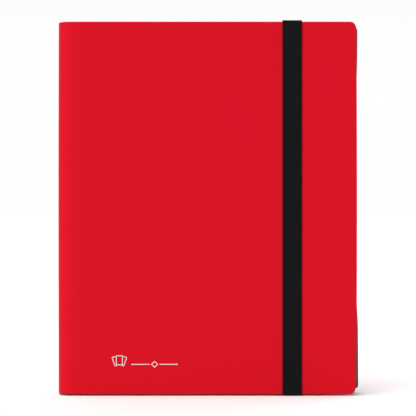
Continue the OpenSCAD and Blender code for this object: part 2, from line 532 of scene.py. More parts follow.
@dataclass(frozen=True)
class StampedFoil(Finish):
    """Hot-stamped silver foil: a bright, slightly cloudy metal layer that takes on the grain of the sheet."""

    cloud_mm: float = 3.0
    grain_mm: float = 0.7
    grain_depth_mm: float = 0.01
    brightest: float = -0.08
    cloudiest: float = 0.1

    def pattern(self, tree: bpy.types.NodeTree, place: Any) -> dict[str, Any]:
        """Adds the clouding and the grain of the sheet.

        Args:
            tree: the material's node tree.
            place: the socket that gives Object coordinates.

        Returns:
            What feeds the shader's inputs.
        """
        cloud, grain = (
            add(tree, "ShaderNodeTexNoise", {"Vector": place, "Scale": fineness(size), "Detail": detail})
            for size, detail in ((self.cloud_mm, 3.0), (self.grain_mm, 2.0))
        )
        dull = add(tree, "ShaderNodeMapRange", {
            "Value": cloud, "To Min": self.roughness + self.brightest,
            "To Max": self.roughness + self.cloudiest,
        })
        bump = add(tree, "ShaderNodeBump", {
            "Height": grain, "Distance": self.grain_depth_mm * MM, "Strength": 0.6,
        })
        return {"Roughness": dull, "Normal": bump}


@dataclass(frozen=True)
class Grained(Finish):
    """A plain moulded, cast or plated surface: one grain that varies its colour, gloss and relief."""

    grain_mm: float = 1.0
    depth_mm: float = 0.02
    second_colour: str = "808080"
    tone: float = 0.3
    gloss_spread: float = 0.08

    def pattern(self, tree: bpy.types.NodeTree, place: Any) -> dict[str, Any]:
        """Adds the grain.

        Args:
            tree: the material's node tree.
            place: the socket that gives Object coordinates.

        Returns:
            What feeds the shader's inputs.
        """
        grain = add(tree, "ShaderNodeTexNoise", {
            "Vector": place, "Scale": fineness(self.grain_mm), "Detail": 4.0, "Roughness": 0.6,
        })
        share = add(tree, "ShaderNodeMath", {0: grain, 1: self.tone}, operation="MULTIPLY")
        mixed = {MIX_FACTOR: share, MIX_A: linear(self.colour), MIX_B: linear(self.second_colour)}
        colour = add(tree, "ShaderNodeMix", mixed, data_type="RGBA").outputs[MIX_RESULT]
        dull = add(tree, "ShaderNodeMapRange", {
            "Value": grain, "To Min": self.roughness - self.gloss_spread,
            "To Max": self.roughness + self.gloss_spread,
        })
        bump = add(tree, "ShaderNodeBump", {"Height": grain, "Distance": self.depth_mm * MM})
        return {"Base Color": colour, "Roughness": dull, "Normal": bump}


class Finishes(Enum):
    """Every finish of the binder and its floor."""

    # Matt-embossed polypropylene, self-coloured red: deep colour, hardly any shine.
    COVER = EmbossedSheet(
        "extruded polypropylene, red", "cover", "d1081f", 0.5, ior=PLASTIC_IOR, specular=0.08,
    )
    # The covers' lining: the same kind of sheet in black, with a rougher emboss.
    LINING = Grained(
        "embossed polypropylene, black", "lining", "17181a", 0.5, ior=PLASTIC_IOR,
        grain_mm=1.1, depth_mm=0.05, second_colour="2c2d30", tone=0.5,
    )
    # Page backing: thin calendered polypropylene, smoother than the lining.
    PAGE = Grained(
        "calendered polypropylene, black", "page", "111113", 0.38, ior=PLASTIC_IOR,
        grain_mm=0.9, depth_mm=0.012, second_colour="242427", tone=0.5,
    )
    # Welded seams: film and backing fused and ribbed by the welding bar, so greyer and shinier than the page.
    SEAM = Grained(
        "welded polypropylene film", "page", "2b2c2f", 0.3, ior=PLASTIC_IOR,
        grain_mm=1.5, depth_mm=0.02, second_colour="4a4c50", tone=0.6,
    )
    # Pocket film: clear and glossy, so it shows the sheet under it through soft reflections.
    FILM = CastFilm("cast polypropylene film, clear", "film", "f4f8fa", 0.09, ior=PLASTIC_IOR)
    # Emblem: a thin metal layer, pressed on hot, bright but not a mirror.
    FOIL = StampedFoil("hot-stamped foil, silver", "foil", "e6e6e8", 0.34, metallic=0.85)
    # Strap: black yarn, dull, with a weave that breaks up the light.
    ELASTIC = WovenElastic("woven elastic webbing, black", "elastic", "040404", 0.85, specular=0.1)
    # Strip glued behind the pages: extruded polypropylene with a deep, dull emboss that the adhesive grips.
    BINDING = Grained(
        "embossed polypropylene strip, charcoal", "binding", "232325", 0.7, ior=PLASTIC_IOR,
        grain_mm=0.9, depth_mm=0.08, second_colour="47474a", tone=0.6,
    )
    # Hot-melt adhesive: charcoal and waxy, with a lumpy, half-gloss skin.
    ADHESIVE = Grained(
        "hot-melt adhesive, charcoal", "adhesive", "333336", 0.42,
        grain_mm=3.0, depth_mm=0.25, second_colour="4d4d50", tone=0.5,
    )
    # Black-lacquered brass rivet heads: dark and satin, with a hint of brown in the lacquer.
    RIVET = Grained(
        "lacquered brass, black", "rivet", "1d1c1b", 0.3, metallic=0.6,
        grain_mm=0.8, depth_mm=0.01, second_colour="3b3834", tone=0.5,
    )
    # Turned steel washer, zinc plated: fine grey grain.
    WASHER = Grained(
        "zinc-plated steel, turned", "washer", "a4a8ab", 0.35, metallic=1.0,
        grain_mm=0.6, depth_mm=0.01, second_colour="7d8185", tone=0.5,
    )
    # Painted studio floor: plain and pale, dull, without a reflection.
    FLOOR = Grained(
        "emulsion paint, white", "floor", "fdfdfc", 0.9, specular=0.1,
        grain_mm=4.0, depth_mm=0.02, second_colour="f8f8f7", tone=0.4,
    )


def hand_over(obj: bpy.types.Object, finish: Finishes, body: str, *nodes: str) -> None:
    """Dresses a rigid piece, puts it on its body and hides the CAD nodes that it stands for.

    Args:
        obj: the piece.
        finish: its material.
        body: the CAD body that carries it.
        nodes: the CAD nodes that it replaces.
    """
    finish.value.dress(obj)
    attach(obj, body)
    if nodes:
        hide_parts(*nodes)
    LOG.info("%s: %d faces, on %s", obj.name, len(obj.data.polygons), body)


# ---------------------------------------------------------------- sheets


@dataclass
class Sheet:
    """A thin upright sheet: a path in plan, carried up from a lower to an upper edge, with eased edges.

    Attributes:
        path: points of the sheet's middle in X and Y, in metres.
        low: height of the lower edge at each point.
        high: height of the upper edge at each point.
        thickness: the sheet's thickness.
        rows: how many points each face has from edge to edge.
        ease: how far the edges are rounded.
        flex: moves the path's points at each height; gives the X and Y of the shift.
        rim_steps: how many steps round each edge.
        thinnest: square of the share of the thickness that is left at the eased end.
    """

    path: np.ndarray
    low: np.ndarray
    high: np.ndarray
    thickness: float
    rows: int
    ease: float
    flex: Flex
    rim_steps: int = 4
    thinnest: float = 0.01

    def normals(self) -> np.ndarray:
        """The unit normal of the path at each point, to the left of its direction."""
        run = np.gradient(self.path, axis=0)
        run /= np.linalg.norm(run, axis=1, keepdims=True)
        return np.stack([-run[:, 1], run[:, 0]], axis=1)

    def end_steps(self) -> np.ndarray:
        """How far along and how thick the sheet is at each step of its eased end, as shares."""
        turn = np.linspace(0, math.pi / 2, self.rim_steps + 1)[1:]
        return np.stack([np.sqrt(np.sin(turn)), np.sqrt(np.maximum(np.cos(turn), self.thinnest))], axis=1)

    def build(self, name: str) -> bpy.types.Object:
        """Makes the sheet as a closed mesh, with a rim attribute that is 1 where the sheet was cut.

        Args:
            name: the object's name.

        Returns:
            The new object.
        """
        steps = self.end_steps()
        normal = self.normals()
        direction = np.array([normal[-1, 1], -normal[-1, 0]])
        tail = self.path[-1] + steps[:, :1] * self.ease * direction
        path = np.concatenate([self.path, tail])
        normal = np.concatenate([normal, np.repeat(normal[-1:], len(steps), axis=0)])
        half = np.concatenate([np.ones(len(self.path)), steps[:, 1]]) * self.thickness / 2
        low = np.concatenate([self.low, np.full(len(steps), self.low[-1])])
        high = np.concatenate([self.high, np.full(len(steps), self.high[-1])])

        turn = np.linspace(math.pi / 2, -math.pi / 2, self.rim_steps + 2)[1:-1]
        rim_side = np.sign(np.sin(turn)) * np.sqrt(np.abs(np.sin(turn)))
        rim_out = np.sqrt(np.cos(turn))
        share = np.linspace(0, 1, self.rows)
        side = np.concatenate([np.ones(self.rows), rim_side, -np.ones(self.rows), -rim_side])
        lift = np.concatenate([share, np.ones(len(turn)), share[::-1], np.zeros(len(turn))])
        spread = np.concatenate([np.zeros(self.rows), rim_out, np.zeros(self.rows), -rim_out])
        height = low[:, None] + (high - low)[:, None] * lift + spread * self.ease
        offset = half[:, None] * side
        plan = path[:, None, :] + normal[:, None, :] * offset[:, :, None]
        plan = plan + self.flex(path, height)
        points = np.concatenate([plan, height[:, :, None]], axis=2)

        count, around = height.shape
        faces = hoops(count, around) + self.cap(0, around) + self.cap(count - 1, around)
        obj = mesh_object(name, points.reshape(-1, 3), faces)
        cut = np.zeros((count, around))
        cut[:, spread != 0] = 1
        cut[len(self.path) :] = 1
        mark(obj, "rim", cut.ravel())
        return obj

    def cap(self, column: int, around: int) -> list[Face]:
        """Closes one end of the sheet with a ladder of faces from one side to the other.

        Args:
            column: which point of the path the end is at.
            around: how many points the ring there has.

        Returns:
            The faces.
        """
        first = column * around
        far = 2 * self.rows + self.rim_steps - 1
        pairs = [(first + i, first + far - i) for i in range(self.rows)]
        ladder = [(a, c, d, b) for (a, b), (c, d) in zip(pairs, pairs[1:])]
        top = tuple(first + self.rows - 1 + i for i in range(self.rim_steps + 2))
        foot = tuple(first + (far + i) % around for i in range(self.rim_steps + 2))
        return [*ladder, top, foot]


def smooth(x: np.ndarray, start: float, end: float) -> np.ndarray:
    """A smooth step from 0 at start to 1 at end."""
    t = np.clip((x - start) / (end - start), 0, 1)
    return t * t * (3 - 2 * t)


def round_corners(x: np.ndarray, edge: float, radius: float) -> np.ndarray:
    """How far a rounded corner cuts in from the upper and lower edges.

    Args:
        x: places along the sheet.
        edge: where the sheet ends.
        radius: the corner's radius.

    Returns:
        The cut at each place.
    """
    past = np.clip((x - (edge - radius)) / radius, 0, 1)
    return radius * (1 - np.sqrt(1 - past**2))


# ---------------------------------------------------------------- covers


@dataclass
class Wrap:
    """The red wrap: front panel, spine and back panel, one sheet with a crease at each side of the spine.

    It is made as two halves that meet along the middle of the spine, so each half holds one crease only.
    """

    corner: float = 5 * MM
    ease: float = 0.35 * MM
    spine_radius: float = 11 * MM
    crease_reach: float = 0.9 * MM
    # Where the fine steps round the crease start and end, in times crease_reach, and how many there are
    crease_steps: tuple[float, float, int] = (-1.3, 1.6, 13)
    spine_bulge: float = 0.35 * MM
    strap_dent: float = 0.35 * MM
    dent_width: float = 11 * MM
    # Share of the strap's dent at the two ends of the cover, where the edges are stiffer to the pull
    dent_at_ends: float = 0.55
    # The painted highlight on the spine's curve: how far in its middle lies, and its reach to either side
    painted_highlight_middle: float = 7 * MM
    painted_highlight_near: float = 6 * MM
    painted_highlight_far: float = 7 * MM
    fore_bow: float = 0.55 * MM
    fore_pull: float = 0.45 * MM
    # Share of the height over which the fore edge draws in toward the foot
    foot_share: float = 0.22
    panel_step: float = 4 * MM
    turn_steps: int = 25
    corner_steps: int = 12
    rows: int = 81

    def __post_init__(self) -> None:
        """Reads the sheet's sizes from the CAD nodes."""
        self.panel = Box.of("front_cover")
        self.spine = Box.of("spine")
        self.strap = Box.of("strap_front")
        self.thickness = self.panel.size.y
        self.crease = pivot("front_crease")
        self.turn = Vector((self.spine.low.x + self.spine_radius, self.spine.high.y - self.spine_radius, 0))

    def path(self, side: int) -> np.ndarray:
        """The middle of the sheet in plan, from the middle of the spine to the fore edge.

        Args:
            side: -1 for the front half, 1 for the rear half.

        Returns:
            X and Y of each point.
        """
        inset = self.thickness / 2
        radius = self.spine_radius - inset
        flat = [(self.spine.low.x + inset, y) for y in np.linspace(0, self.turn.y, 4)[:-1]]
        turn = np.linspace(0, math.pi / 2, self.turn_steps)
        bend = np.stack([self.turn.x - radius * np.cos(turn), self.turn.y + radius * np.sin(turn)], axis=1)
        near = self.crease.x + np.linspace(*self.crease_steps) * self.crease_reach
        far = self.panel.high.x - self.ease
        start = near[-1] + self.panel_step / 2
        middle = np.arange(start, far - self.corner - self.panel_step / 2, self.panel_step)
        corner = far - self.corner + self.corner * np.sin(np.linspace(0, math.pi / 2, self.corner_steps))
        run = np.concatenate([near, middle, corner])
        panel = np.stack([run, np.full(len(run), self.spine.high.y - inset)], axis=1)
        return np.concatenate([np.array(flat), bend, panel]) * np.array([1, side])

    def dent(self, bow: np.ndarray) -> np.ndarray:
        """How deep the strap presses into the cover, where bow is 1 at half height and 0 at the ends."""
        return self.strap_dent * (self.dent_at_ends + (1 - self.dent_at_ends) * bow)

    def flex(self, path: np.ndarray, height: np.ndarray, side: int) -> np.ndarray:
        """Bows the spine out a little at half height, and dents the front panel under the strap.

        Args:
            path: X and Y of the sheet's middle.
            height: height of each point above each place of the path.
            side: -1 for the front half, 1 for the rear half.

        Returns:
            The shift in X and Y.
        """
        share = (height - self.panel.low.z) / self.panel.size.z
        bow = np.clip(4 * share * (1 - share), 0, 1)
        near_spine = np.clip(1 - (path[:, :1] - self.spine.low.x) / self.spine_radius, 0, 1)
        near_fore = np.clip((path[:, :1] - self.crease.x) / self.panel.size.x, 0, 1)
        fore = self.fore_bow * bow - self.fore_pull * smooth(-share, -self.foot_share, 0)
        shift = np.zeros((*height.shape, 2))
        shift[:, :, 0] = fore * near_fore**3 - self.spine_bulge * bow * near_spine**2
        if side < 0:
            away = (path[:, :1] - self.strap.middle.x) / self.dent_width
            shift[:, :, 1] = self.dent(bow) * np.exp(-(away**2))
        return shift

    def half(self, name: str, side: int) -> bpy.types.Object:
        """Makes one half of the wrap, and marks the painted highlight along the spine's curve.

        Args:
            name: the piece's name.
            side: -1 for the front half, 1 for the rear half.

        Returns:
            The piece.
        """
        path = self.path(side)
        cut = round_corners(path[:, 0], self.panel.high.x - self.ease, self.corner)
        low = self.panel.low.z + self.ease + cut
        high = self.panel.high.z - self.ease - cut
        flex = partial(self.flex, side=side)
        obj = Sheet(path, low, high, self.thickness, self.rows, self.ease, flex).build(name)
        away = places(obj)[:, 0] - (self.spine.low.x + self.painted_highlight_middle)
        width = np.where(away < 0, self.painted_highlight_near, self.painted_highlight_far)
        # Painted highlight: a paler band along the spine's curve, where it faces the light
        mark(obj, "painted_spine_highlight", np.exp(-((away / width) ** 2)))
        return obj

    def build(self) -> None:
        """Makes both halves, each curved round one side of the spine."""
        halves = (
            ("wrap_front", -1, "spine", "front_cover", ("front_cover", "front_crease_web", "spine")),
            ("wrap_rear", 1, "spine", "back_cover", ("back_cover", "rear_crease_web", "spine")),
        )
        for name, side, inner, outer, nodes in halves:
            obj = self.half(name, side)
            Finishes.COVER.value.dress(obj)
            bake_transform(obj)
            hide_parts(*nodes)
            faces = len(obj.data.polygons)
            LOG.info("%s: %d faces, bends between %s and %s", name, faces, inner, outer)


# ---------------------------------------------------------------- pages


@dataclass
class Page:
    """One page: an opaque backing sheet, clear pocket films on both faces, and the welded seams between."""

    number: int
    count: int
    rng: np.random.Generator
    backing: float = 0.2 * MM
    film: float = 0.1 * MM
    film_gap: float = 0.02 * MM
    corner: float = 2.5 * MM
    ease: float = 0.08 * MM
    glue_cover: float = 0.3 * MM
    # How far the fore edge stands out: all over, toward its top, toward its bottom, and more at its very
    # foot. Each reach is where the extra starts and where it is full, in shares of half the page's height.
    bow_middle: float = -0.45 * MM
    bow_top: float = 0.8 * MM
    top_reach: tuple[float, float] = (0.6, 0.9)
    bow_bottom: float = 1.3 * MM
    bottom_reach: tuple[float, float] = (0.45, 0.68)
    bow_foot: float = 0.45 * MM
    foot_from: float = 0.6
    slip_mm: float = 0.05
    # The wave that the stack shares, how it grows toward the middle pages, and each page's own wave
    outer_wave: float = 0.24 * MM
    wave_step: float = 0.03 * MM
    own_wave: float = 0.02 * MM
    wave_length: float = 31 * MM
    wave_height: float = 57 * MM
    wave_change: float = 0.2
    wave_start: float = 1.0
    uneven: float = 0.25 * MM
    pillow: float = 0.13 * MM
    column_pitch: float = 72 * MM
    row_pitch: float = 98 * MM
    mouth_gap: float = 3 * MM
    # Thumb notch at a pocket's mouth: its depth, its width as a share of the height, and how fast it fades
    notch: float = 2.5 * MM
    notch_width: float = 0.22
    notch_fade: int = 6
    seam_width: float = 1.6 * MM
    seam_pitch: float = 3 * MM
    seam_height: float = 0.05 * MM
    # Half of a rib's length as a share of the pitch, and the width of its flat top as a share of its own
    rib_reach: float = 0.42
    rib_top: float = 0.7
    # How many points lie along the margin, the stiff part, its corner, a pocket's side and the page's height
    margin_points: int = 15
    plate_points: int = 26
    corner_points: int = 6
    pocket_points: int = 7
    rows: int = 33

    def __post_init__(self) -> None:
        """Reads the page's sizes from its CAD nodes and its joint."""
        self.label = f"{self.number:02d}"
        self.body = f"page_{self.label}"
        self.plate = Box.of(self.body)
        self.films = Box.of(f"pockets_{self.label}")
        self.glue = Box.of("binding_adhesive")
        self.bend = pivot(f"page_{self.label}_bend")
        self.phase = float(self.rng.uniform(0, math.tau))
        self.slip = float(self.rng.normal(0, self.slip_mm)) * MM
        self.lift = float(self.rng.uniform(-1, 1)) * self.uneven
        self.shared_wave = self.outer_wave + self.wave_step * min(self.number - 1, self.count - self.number)

    def inner_edge(self) -> float:
        """X of the glued edge, which follows the adhesive's rounded back."""
        turn = Wrap().turn
        radius = turn.x - self.glue.low.x - self.glue_cover
        aside = max(0.0, abs(self.bend.y) - turn.y)
        return turn.x - math.sqrt(radius**2 - aside**2)

    def bow(self, height: np.ndarray) -> np.ndarray:
        """How far the fore edge stands out at each height: most at the two ends of the page."""
        t = (height - self.plate.middle.z) / (self.plate.size.z / 2)
        ends = self.bow_top * smooth(t, *self.top_reach) + self.bow_bottom * smooth(-t, *self.bottom_reach)
        return self.bow_middle + ends + self.bow_foot * np.clip(-t - self.foot_from, 0, 1) + self.slip

    def flex(self, path: np.ndarray, height: np.ndarray) -> np.ndarray:
        """Bows the fore edge and gives the sheet a slight wave, most of it shared by the whole stack.

        Args:
            path: X and Y of the sheet's middle.
            height: height of each point above each place of the path.

        Returns:
            The shift in X and Y.
        """
        free = np.clip((path[:, :1] - self.plate.low.x) / self.plate.size.x, 0, 1)
        shift = np.zeros((*height.shape, 2))
        shift[:, :, 0] = self.bow(height) * free**2
        across, up = path[:, :1] / self.wave_length, height / self.wave_height
        shared = np.sin(across + self.wave_start) * (1 - self.wave_change + self.wave_change * np.sin(up))
        own = np.sin(across + self.phase) * np.sin(up + 2 * self.phase)
        shift[:, :, 1] = (self.shared_wave * shared + self.own_wave * own) * free
        return shift

    def follow(self, obj: bpy.types.Object) -> None:
        """Moves a piece that lies on the sheet the way the sheet moves.

        Args:
            obj: the piece, made for a flat sheet.
        """
        place = places(obj)
        place[:, :2] += self.flex(place[:, :2], place[:, 2:])[:, 0]
        place[:, 2] += self.lift
        obj.data.vertices.foreach_set("co", place.ravel())
        obj.data.update()

    def sheet(self) -> bpy.types.Object:
        """Makes the backing sheet, from its glued edge across its margin to the fore edge."""
        margin = np.linspace(self.inner_edge(), self.plate.low.x, self.margin_points)
        far = self.plate.high.x - self.ease
        body = np.linspace(self.plate.low.x, far - self.corner, self.plate_points)[1:]
        turn = np.linspace(0, math.pi / 2, self.corner_points)[1:]
        corner = far - self.corner + self.corner * np.sin(turn)
        x = np.concatenate([margin, body, corner])
        cut = round_corners(x, far, self.corner)
        path = np.stack([x, np.full(len(x), self.bend.y)], axis=1)
        low = self.plate.low.z + self.ease + cut + self.lift
        high = self.plate.high.z - self.ease - cut + self.lift
        sheet = Sheet(path, low, high, self.backing, self.rows, self.ease, self.flex, rim_steps=2)
        made = sheet.build(f"sheet_{self.label}")
        Finishes.PAGE.value.dress(made)
        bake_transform(made)
        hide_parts(self.body, "page_margins")
        return made

    def pocket(self, name: str) -> bpy.types.Object:
        """Makes the films of one pocket, front and back: pillowed, and notched at the mouth for a thumb.

        Args:
            name: the object's name.

        Returns:
            The pocket, centred on the origin.
        """
        n = self.pocket_points
        u, v = np.meshgrid(np.linspace(-1, 1, n), np.linspace(-1, 1, n), indexing="ij")
        wide = (self.column_pitch - self.mouth_gap - self.seam_width) / 2
        tall = (self.row_pitch - self.seam_width) / 2
        mouth = np.exp(-((v / self.notch_width) ** 2)) * np.clip(-u, 0, 1) ** self.notch_fade
        x = u * wide + (self.mouth_gap - self.seam_width) / 2 + self.notch * mouth
        rise = self.pillow * (1 - u**4) * (1 - v**4)
        skins = [(side, skin) for side in (-1, 1) for skin in (self.film_gap, self.film_gap + self.film)]
        points = [
            np.stack([x, side * (self.backing / 2 + skin + rise), v * tall], axis=2).reshape(-1, 3)
            for side, skin in skins
        ]
        layer = n * n
        border = [i * n for i in range(n)] + [(n - 1) * n + j for j in range(1, n)]
        border += [i * n + n - 1 for i in range(n - 2, -1, -1)] + list(range(n - 2, 0, -1))
        corners = [k * layer + i * n + j for k in range(4) for i in range(n - 1) for j in range(n - 1)]
        faces = [(a, a + 1, a + n + 1, a + n) for a in corners]
        for first in (0, 2 * layer):
            for a, b in zip(border, border[1:] + border[:1]):
                faces.append((first + a, first + b, first + layer + b, first + layer + a))
        return mesh_object(name, np.concatenate(points), faces)

    def rib(self, name: str) -> bpy.types.Object:
        """Makes one rib of a seam on each face: a low pad with sloping sides, centred on the origin."""
        points, faces = [], []
        corners = np.array([(-1, -1), (1, -1), (1, 1), (-1, 1)])
        reach = np.array([self.seam_width / 2, self.seam_pitch * self.rib_reach])
        for side in (-1, 1):
            a = len(points)
            for share, height in ((1.0, 0.0), (self.rib_top, self.seam_height)):
                y = side * (self.backing / 2 + height)
                points += [(x, y, z) for x, z in corners * reach * share]
            faces += [(a, a + 1, a + 2, a + 3), (a + 4, a + 5, a + 6, a + 7), *hoops(2, 4, a)]
        return mesh_object(name, np.array(points), faces)

    def build(self, pocket_tree: bpy.types.NodeTree, seam_tree: bpy.types.NodeTree) -> None:
        """Makes the page's three pieces, and hands the films and the seams to its body.

        Args:
            pocket_tree: lays one pocket out over the page.
            seam_tree: lays one rib out along every seam.
        """
        sheet = self.sheet()
        middle_x = self.films.high.x - COLUMNS / 2 * self.column_pitch
        middle = Vector((middle_x, self.bend.y, self.films.middle.z))
        layout = {"Middle": middle, "Column Pitch": self.column_pitch, "Row Pitch": self.row_pitch}
        films = grow(self.pocket(f"films_{self.label}"), pocket_tree, layout)
        self.follow(films)
        hand_over(films, Finishes.FILM, self.body, f"pockets_{self.label}")
        seams = grow(self.rib(f"seams_{self.label}"), seam_tree, {**layout, "Rib Pitch": self.seam_pitch})
        self.follow(seams)
        sharpen(seams, degrees=30)
        hand_over(seams, Finishes.SEAM, self.body)
        faces = len(sheet.data.polygons)
        LOG.info("%s: %d faces, bends between spine and %s", sheet.name, faces, self.body)


@dataclass
class PageBlock:
    """All the pages, with the two layouts that they share: columns and rows of pockets, and their seams."""

    seed: int = 11

    def pocket_layout(self) -> bpy.types.NodeTree:
        """A tree that sets the incoming pocket at every place of the grid."""
        inputs = {"Middle": "Vector", "Column Pitch": "Float", "Row Pitch": "Float"}
        tree, given = new_tree("pocket_layout", inputs)
        wide, tall = (
            add(tree, "ShaderNodeMath", {0: given[pitch], 1: count - 1.0}, operation="MULTIPLY")
            for pitch, count in (("Column Pitch", COLUMNS), ("Row Pitch", ROWS))
        )
        grid = add(tree, "GeometryNodeMeshGrid", {
            "Size X": wide, "Size Y": tall, "Vertices X": COLUMNS, "Vertices Y": ROWS,
        })
        upright = add(tree, "GeometryNodeTransform", {
            "Geometry": grid, "Rotation": (math.pi / 2, 0, 0), "Translation": given["Middle"],
        })
        laid = add(tree, "GeometryNodeInstanceOnPoints", {"Points": upright, "Instance": given["Geometry"]})
        end_tree(tree, laid, Finishes.FILM.value.build())
        return tree

    def seam_layout(self) -> bpy.types.NodeTree:
        """A tree that runs the incoming rib along the closed side, the top and the bottom of every pocket."""
        inputs = {"Middle": "Vector", "Column Pitch": "Float", "Row Pitch": "Float", "Rib Pitch": "Float"}
        tree, given = new_tree("seam_layout", inputs)
        wide, tall = COLUMNS / 2, ROWS / 2
        uprights = [((k - wide, -tall), (k - wide, tall), 0.0) for k in range(1, COLUMNS + 1)]
        levels = [((-wide, k - tall), (wide, k - tall), math.pi / 2) for k in range(ROWS + 1)]
        joined = add(tree, "GeometryNodeJoinGeometry")
        for *ends, turn in uprights + levels:
            corners = []
            for x, z in ends:
                px = add(tree, "ShaderNodeMath", {0: given["Column Pitch"], 1: x}, operation="MULTIPLY")
                pz = add(tree, "ShaderNodeMath", {0: given["Row Pitch"], 1: z}, operation="MULTIPLY")
                corners.append(add(tree, "ShaderNodeCombineXYZ", {"X": px, "Z": pz}))
            line = add(tree, "GeometryNodeCurvePrimitiveLine", dict(zip(("Start", "End"), corners)))
            spaced = {"Curve": line, "Length": given["Rib Pitch"]}
            points = add(tree, "GeometryNodeCurveToPoints", spaced, mode="LENGTH")
            laid = add(tree, "GeometryNodeInstanceOnPoints", {
                "Points": points, "Instance": given["Geometry"], "Rotation": (0.0, turn, 0.0),
            })
            feed(tree, joined, {0: laid})
        moved = add(tree, "GeometryNodeTransform", {"Geometry": joined, "Translation": given["Middle"]})
        end_tree(tree, moved, Finishes.SEAM.value.build())
        return tree

    def build(self) -> None:
        """Makes every page that the frame has."""
        rng = np.random.default_rng(self.seed)
        pockets, seams = self.pocket_layout(), self.seam_layout()
        count = sum(1 for body in frame["bodies"] if body.startswith("page_"))
        for number in range(1, count + 1):
            Page(number, count, rng).build(pockets, seams)


# ---------------------------------------------------------------- strap


@dataclass
class Strap:
    """The elastic strap: one woven band round the binder, in five stretches, and its two rivets."""

    bend: float = 1.1 * MM
    rib_pitch: float = 1.6 * MM
    rib_height: float = 0.05 * MM
    edge_round: float = 0.42 * MM
    fold_left: float = 0.08
    # How fast the dent under the strap comes in from the two ends of its front run
    dent_rise: float = 12.0
    # How many points lie round a bend, along the front run and along a short run, and steps of a rib
    bend_points: int = 7
    front_points: int = 41
    short_points: int = 9
    rib_steps: int = 4
    shank_radius: float = 1.5 * MM
    head_height: float = 0.8 * MM
    rivet_crown: float = 0.35 * MM
    # The rolled edge of a rivet's head, in shares of its radius and of its height
    head_edge: tuple[tuple[float, float], ...] = (
        (0.96, 1.0), (1.0, 0.75), (1.0, 0.35), (0.96, 0.08), (0.88, 0.0),
    )
    # The crown starts at this share of the radius and at this angle, beside a groove this deep
    crown_share: float = 0.8
    crown_from: float = 0.12
    groove: float = 0.04 * MM
    crown_points: int = 7
    around: int = 40

    def __post_init__(self) -> None:
        """Reads the strap's sizes from the CAD nodes."""
        self.front = Box.of("strap_front")
        self.tail = Box.of("strap_tail_top")
        self.low_tail = Box.of("strap_tail_bottom")
        self.thickness = self.front.size.y
        self.half = self.thickness / 2

    def arc(self, y: float, z: float, start: float, end: float) -> np.ndarray:
        """Points round one bend of the strap.

        Args:
            y: the bend's centre along Y.
            z: the bend's centre along Z.
            start: the angle at which it begins, from +Y toward +Z.
            end: the angle at which it ends.

        Returns:
            Y and Z of each point.
        """
        turn = np.linspace(start, end, self.bend_points)
        return np.stack([y + self.bend * np.cos(turn), z + self.bend * np.sin(turn)], axis=1)

    def front_path(self) -> np.ndarray:
        """The front run, from half way round its lower bend to half way round its upper one."""
        inset = self.half + self.bend
        y, low, high = self.front.low.y + inset, self.front.low.z + inset, self.front.high.z - inset
        share = np.linspace(0, 1, self.front_points)[1:-1]
        dip = Wrap().dent(4 * share * (1 - share))
        dip *= np.clip(np.minimum(share, 1 - share) * self.dent_rise, 0, 1)
        run = np.stack([y - self.bend + dip, low + (high - low) * share], axis=1)
        foot = self.arc(y, low, -0.75 * math.pi, -math.pi)
        head = self.arc(y, high, math.pi, 0.75 * math.pi)
        return np.concatenate([foot, run, head])

    def leg_path(self, end: int) -> np.ndarray:
        """A run over one end of the binder, between the middles of its two bends.

        Args:
            end: 1 for the top, -1 for the bottom.

        Returns:
            Y and Z of each point.
        """
        reach = -self.front.low.y - self.half - self.bend
        level = self.front.high.z - self.half if end > 0 else self.front.low.z + self.half
        z = level - end * self.bend
        near = self.arc(-reach, z, end * 0.75 * math.pi, end * 0.5 * math.pi)
        away = self.arc(reach, z, end * 0.5 * math.pi, end * 0.25 * math.pi)
        y = np.linspace(-reach, reach, self.short_points)[1:-1]
        return np.concatenate([near, np.stack([y, np.full(len(y), level)], axis=1), away])

    def tail_path(self, end: int) -> np.ndarray:
        """One end of the strap on the back cover, from the middle of its bend to its cut end.

        Args:
            end: 1 for the top, -1 for the bottom.

        Returns:
            Y and Z of each point.
        """
        y = self.tail.high.y - self.half
        level = (self.front.high.z if end > 0 else self.front.low.z) - end * (self.half + self.bend)
        stop = self.tail.low.z if end > 0 else self.low_tail.high.z
        bend = self.arc(y - self.bend, level, end * 0.25 * math.pi, 0)
        z = np.linspace(level, stop, self.short_points)[1:]
        return np.concatenate([bend, np.stack([np.full(len(z), y), z], axis=1)])

    def weave(self) -> bpy.types.NodeTree:
        """A tree that sweeps a round-edged band along the incoming path and raises a rib at each pitch."""
        inputs = ("Width", "Thickness", "Edge", "Rib Pitch", "Rib Height")
        tree, given = new_tree("woven_band", dict.fromkeys(inputs, "Float"))
        steps = float(self.rib_steps)
        step = add(tree, "ShaderNodeMath", {0: given["Rib Pitch"], 1: steps}, operation="DIVIDE")
        curve = add(tree, "GeometryNodeMeshToCurve", {"Mesh": given["Geometry"]})
        fine = add(tree, "GeometryNodeResampleCurve", {"Curve": curve, "Length": step}, mode="LENGTH")
        across = {"Curve": fine, "Normal": (1.0, 0.0, 0.0)}
        facing = add(tree, "GeometryNodeSetCurveNormal", across, mode="FREE")
        length = add(tree, "GeometryNodeSplineParameter").outputs["Length"]
        kept = add(tree, "GeometryNodeStoreNamedAttribute", {
            "Geometry": facing, "Name": "run", "Value": length,
        })
        section = add(tree, "GeometryNodeCurvePrimitiveQuadrilateral", {
            "Width": given["Width"], "Height": given["Thickness"],
        })
        fillet = {"Curve": section, "Radius": given["Edge"], "Count": 4}
        rounded = add(tree, "GeometryNodeFilletCurve", fillet, mode="POLY")
        band = add(tree, "GeometryNodeCurveToMesh", {
            "Curve": kept, "Profile Curve": rounded, "Fill Caps": True,
        })
        run = add(tree, "GeometryNodeInputNamedAttribute", {"Name": "run"})
